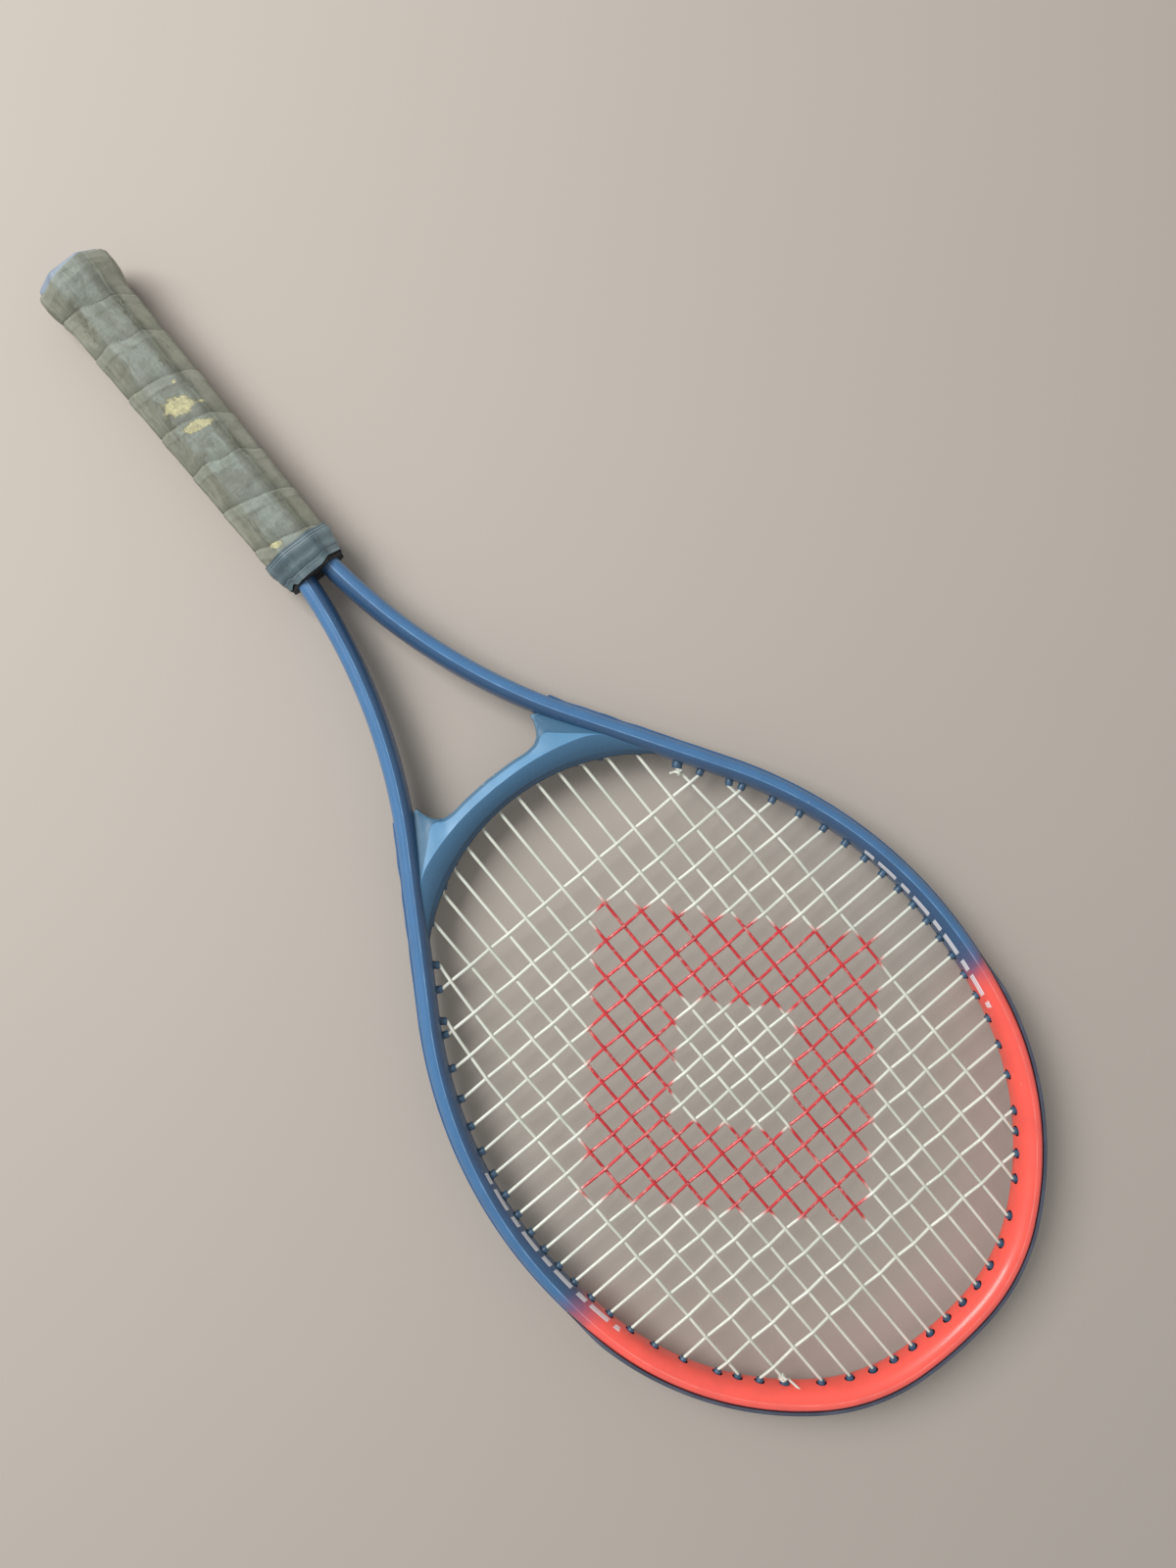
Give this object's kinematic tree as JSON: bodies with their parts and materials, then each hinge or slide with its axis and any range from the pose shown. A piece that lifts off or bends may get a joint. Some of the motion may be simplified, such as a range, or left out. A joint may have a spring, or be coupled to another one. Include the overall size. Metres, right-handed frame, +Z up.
{
  "type": "tennis racket",
  "caption": "Oversize tennis racket: hollow hairpin rim with open throat and bonded bridge, woven string bed laced through grommet strips, tip bumper and bevelled handle in an overgrip.",
  "frame": {"origin": "centre of the butt end face, on the long axis of the racket, in the string plane", "axes": "+Y along the racket from the butt to the tip, +X across the head, +Z up off the string plane"},
  "size_m": [0.2796, 0.6858, 0.0353],
  "materials": {
    "rim": "clear-coated paint over fibre composite, blue running to coral at the tip",
    "bridge": "clear-coated steel-blue paint",
    "grommet": "moulded nylon, slate blue",
    "string": "braided synthetic string, cream",
    "handle": "moulded black handle halves",
    "butt_cap": "moulded grey-blue plastic",
    "staple": "bright wire",
    "cushion": "cushioned polyurethane, pale yellow",
    "overgrip": "tacky polyurethane wrap, worn grey-green",
    "tape": "adhesive finishing tape, grey-blue"
  },
  "bodies": {
    "root": {"frame": "rim", "throat_bridge": "bridge", "bumper_guard": "grommet", "grommet_strip_left": "grommet", "grommet_strip_right": "grommet", "bridge_grommets": "grommet", "main_string": "string", "cross_string": "string", "knot_throat": "string", "knot_tip": "string", "pallet_front": "handle", "pallet_back": "handle", "butt_cap": "butt_cap", "butt_cap_door": "butt_cap", "butt_cap_staples": "staple", "base_grip": "cushion", "overgrip": "overgrip", "finishing_tape": "tape"}
  },
  "joints": []
}
